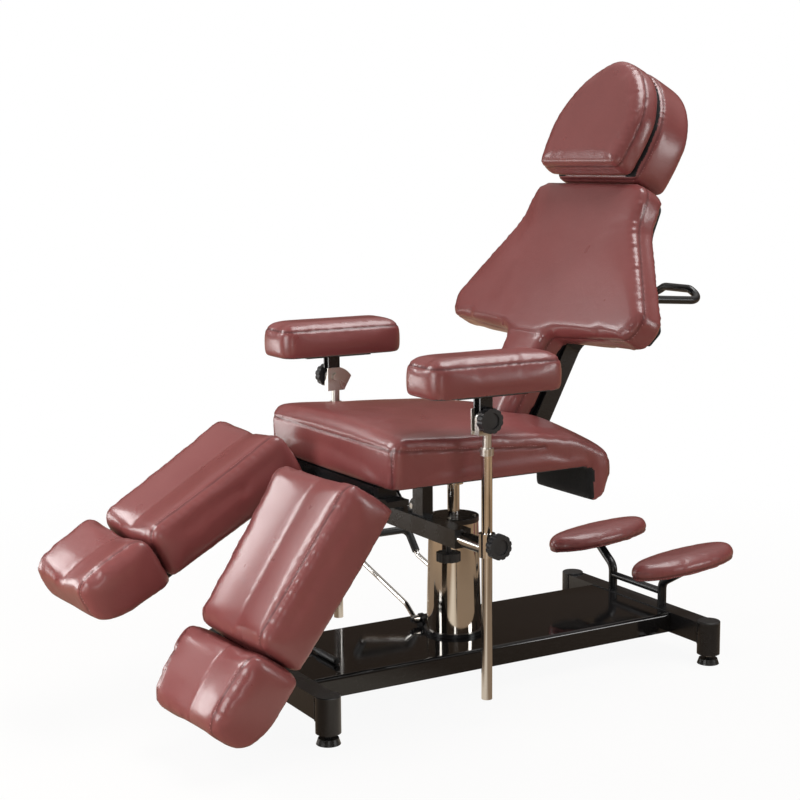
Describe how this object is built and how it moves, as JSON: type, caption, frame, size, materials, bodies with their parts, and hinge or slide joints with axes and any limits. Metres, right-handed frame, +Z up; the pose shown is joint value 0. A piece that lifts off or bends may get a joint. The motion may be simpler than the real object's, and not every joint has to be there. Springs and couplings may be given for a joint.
{
  "type": "tattoo chair",
  "caption": "Padded client chair on a foot-pumped column: reclining winged back, head cushion, two raising and spreading leg pads, adjustable armrests and a rear leg rest.",
  "frame": {"origin": "on the floor, under the middle of the bounding box of the chair as pictured", "axes": "+Z up; -Y towards the foot end, where the client's feet point; +X towards the armrest nearer the camera"},
  "size_m": [0.738, 1.4793, 1.3079],
  "materials": {
    "leather": "semi-gloss",
    "black_paint": "gloss",
    "chrome": "polished",
    "zinc_steel": "satin",
    "black_plastic": "satin",
    "black_rubber": "matte",
    "plywood": "matte"
  },
  "bodies": {
    "base": {"base_deck": "black_paint", "crossbars": "black_paint", "corner_posts": "black_paint", "post_caps": "black_plastic", "levelling_feet": "zinc_steel", "pump_flange": "black_paint", "base_bolts": "zinc_steel", "pump_cylinder": "black_paint", "pump_cover": "chrome", "pump_cap": "black_paint", "pedal_lugs": "black_paint", "rest_frame": "black_paint", "rest_pads": "leather"},
    "pedal": {"pedal_bail": "chrome", "pedal_sleeve": "black_rubber"},
    "deck_lever": {"deck_lever": "black_rubber"},
    "lift": {"lift_ram": "chrome"},
    "seat": {"swivel_hub": "black_paint", "seat_frame": "black_paint", "frame_bolts": "zinc_steel", "hinge_pin": "zinc_steel", "seat_board": "plywood", "seat_cushion": "leather", "arm_beam": "black_paint", "beam_hangers": "black_paint"},
    "back": {"back_cushion": "leather", "back_board": "plywood", "back_frame": "black_paint", "back_handle": "black_paint"},
    "head_carrier": {"headrest_rods": "chrome"},
    "head": {"head_bracket": "black_paint", "head_board": "plywood", "head_cushion": "leather"},
    "pillow": {"head_pillow": "leather"},
    "near_bracket": {"near_leg_bracket": "black_paint"},
    "near_leg": {"near_leg_frame": "black_paint", "near_leg_cushion": "leather"},
    "near_foot": {"near_foot_slide": "black_paint", "near_foot_cushion": "leather"},
    "near_arm_slide": {"near_arm_tube": "chrome"},
    "near_post": {"near_arm_post": "chrome"},
    "near_stem": {"near_arm_stem": "zinc_steel"},
    "near_pad": {"near_pad_bracket": "black_paint", "near_arm_cushion": "leather"},
    "near_width_knob": {"near_width_knob": "black_plastic"},
    "near_height_knob": {"near_height_knob": "black_plastic"},
    "near_tilt_knob": {"near_tilt_knob": "black_plastic"},
    "far_bracket": {"far_leg_bracket": "black_paint"},
    "far_leg": {"far_leg_frame": "black_paint", "far_leg_cushion": "leather"},
    "far_foot": {"far_foot_slide": "black_paint", "far_foot_cushion": "leather"},
    "far_arm_slide": {"far_arm_tube": "chrome"},
    "far_post": {"far_arm_post": "chrome"},
    "far_stem": {"far_arm_stem": "zinc_steel"},
    "far_pad": {"far_pad_bracket": "black_paint", "far_arm_cushion": "leather"},
    "far_width_knob": {"far_width_knob": "black_plastic"},
    "far_height_knob": {"far_height_knob": "black_plastic"},
    "far_tilt_knob": {"far_tilt_knob": "black_plastic"}
  },
  "joints": [
    {"name": "lift_slide", "type": "slide", "parent": "base", "child": "lift", "axis": [0, 0, 1], "range_m": [-0.02, 0.11]},
    {"name": "seat_swivel", "type": "hinge", "parent": "lift", "child": "seat", "pos_m": [0, 0.0958, 0.4], "axis": [0, 0, 1], "range_deg": [-6, 35]},
    {"name": "back_recline", "type": "hinge", "parent": "seat", "child": "back", "pos_m": [0, 0.2448, 0.472], "axis": [-1, 0, 0], "range_deg": [0, 62]},
    {"name": "head_slide", "type": "slide", "parent": "back", "child": "head_carrier", "axis": [0, 0.4695, 0.8829], "range_m": [0, 0.07]},
    {"name": "head_tilt", "type": "hinge", "parent": "head_carrier", "child": "head", "pos_m": [0, 0.54703, 1.03615], "axis": [-1, 0, 0], "range_deg": [0, 32]},
    {"name": "pillow_lift_off", "type": "slide", "parent": "head", "child": "pillow", "axis": [0, -0.8829, 0.4695], "range_m": [0, 0.06]},
    {"name": "near_leg_spread", "type": "hinge", "parent": "seat", "child": "near_bracket", "pos_m": [0.177, -0.1882, 0.46], "axis": [0, 0, 1], "range_deg": [-9, 6]},
    {"name": "near_leg_raise", "type": "hinge", "parent": "near_bracket", "child": "near_leg", "pos_m": [0.1809, -0.23102, 0.448], "axis": [-0.9959, -0.0906, 0], "range_deg": [-1.2, 53.3]},
    {"name": "near_foot_extend", "type": "slide", "parent": "near_leg", "child": "near_foot", "axis": [0.0542, -0.5952, -0.8018], "range_m": [0, 0.045]},
    {"name": "near_arm_width", "type": "slide", "parent": "seat", "child": "near_arm_slide", "axis": [1, 0, 0], "range_m": [-0.02, 0.06]},
    {"name": "near_arm_height", "type": "slide", "parent": "near_arm_slide", "child": "near_post", "axis": [0, 0, 1], "range_m": [-0.006, 0.12]},
    {"name": "near_arm_swivel", "type": "hinge", "parent": "near_post", "child": "near_stem", "pos_m": [0.309, -0.0222, 0.54], "axis": [0, 0, 1], "range_deg": [-40, 40]},
    {"name": "near_arm_tilt", "type": "hinge", "parent": "near_stem", "child": "near_pad", "pos_m": [0.309, -0.0312, 0.607], "axis": [1, 0, 0], "range_deg": [-18, 18]},
    {"name": "near_width_knob", "type": "hinge", "parent": "seat", "child": "near_width_knob", "pos_m": [0.168, -0.0222, 0.3], "axis": [0, 0, 1], "range_deg": [-180, 180]},
    {"name": "near_height_knob", "type": "hinge", "parent": "near_arm_slide", "child": "near_height_knob", "pos_m": [0.309, -0.0222, 0.363], "axis": [1, 0, 0], "range_deg": [-180, 180]},
    {"name": "near_tilt_knob", "type": "hinge", "parent": "near_stem", "child": "near_tilt_knob", "pos_m": [0.309, -0.0312, 0.607], "axis": [1, 0, 0], "range_deg": [-180, 180]},
    {"name": "far_leg_spread", "type": "hinge", "parent": "seat", "child": "far_bracket", "pos_m": [-0.177, -0.1882, 0.46], "axis": [0, 0, -1], "range_deg": [0, 14.8]},
    {"name": "far_leg_raise", "type": "hinge", "parent": "far_bracket", "child": "far_leg", "pos_m": [-0.17415, -0.23111, 0.448], "axis": [-0.9978, -0.0663, 0], "range_deg": [-25.3, 29.2]},
    {"name": "far_foot_extend", "type": "slide", "parent": "far_leg", "child": "far_foot", "axis": [0.0579, -0.871, -0.4879], "range_m": [0, 0.045]},
    {"name": "far_arm_width", "type": "slide", "parent": "seat", "child": "far_arm_slide", "axis": [-1, 0, 0], "range_m": [-0.02, 0.06]},
    {"name": "far_arm_height", "type": "slide", "parent": "far_arm_slide", "child": "far_post", "axis": [0, 0, 1], "range_m": [-0.006, 0.12]},
    {"name": "far_arm_swivel", "type": "hinge", "parent": "far_post", "child": "far_stem", "pos_m": [-0.309, -0.0222, 0.553], "axis": [0, 0, 1], "range_deg": [-40, 40]},
    {"name": "far_arm_tilt", "type": "hinge", "parent": "far_stem", "child": "far_pad", "pos_m": [-0.309, -0.0312, 0.62], "axis": [1, 0, 0], "range_deg": [-18, 18]},
    {"name": "far_width_knob", "type": "hinge", "parent": "seat", "child": "far_width_knob", "pos_m": [-0.168, -0.0222, 0.3], "axis": [0, 0, 1], "range_deg": [-180, 180]},
    {"name": "far_height_knob", "type": "hinge", "parent": "far_arm_slide", "child": "far_height_knob", "pos_m": [-0.309, -0.0222, 0.363], "axis": [1, 0, 0], "range_deg": [-180, 180]},
    {"name": "far_tilt_knob", "type": "hinge", "parent": "far_stem", "child": "far_tilt_knob", "pos_m": [-0.309, -0.0312, 0.62], "axis": [1, 0, 0], "range_deg": [-180, 180]},
    {"name": "pump_pedal", "type": "hinge", "parent": "base", "child": "pedal", "pos_m": [-0.072, 0.0958, 0.104], "axis": [0, -1, 0], "range_deg": [0, 18], "stiffness_Nm_per_rad": 18, "springref_deg": -11.46},
    {"name": "lever_swing", "type": "hinge", "parent": "base", "child": "deck_lever", "pos_m": [-0.041, -0.2347, 0.097], "axis": [0, 0, 1], "range_deg": [-35, 60]}
  ]
}
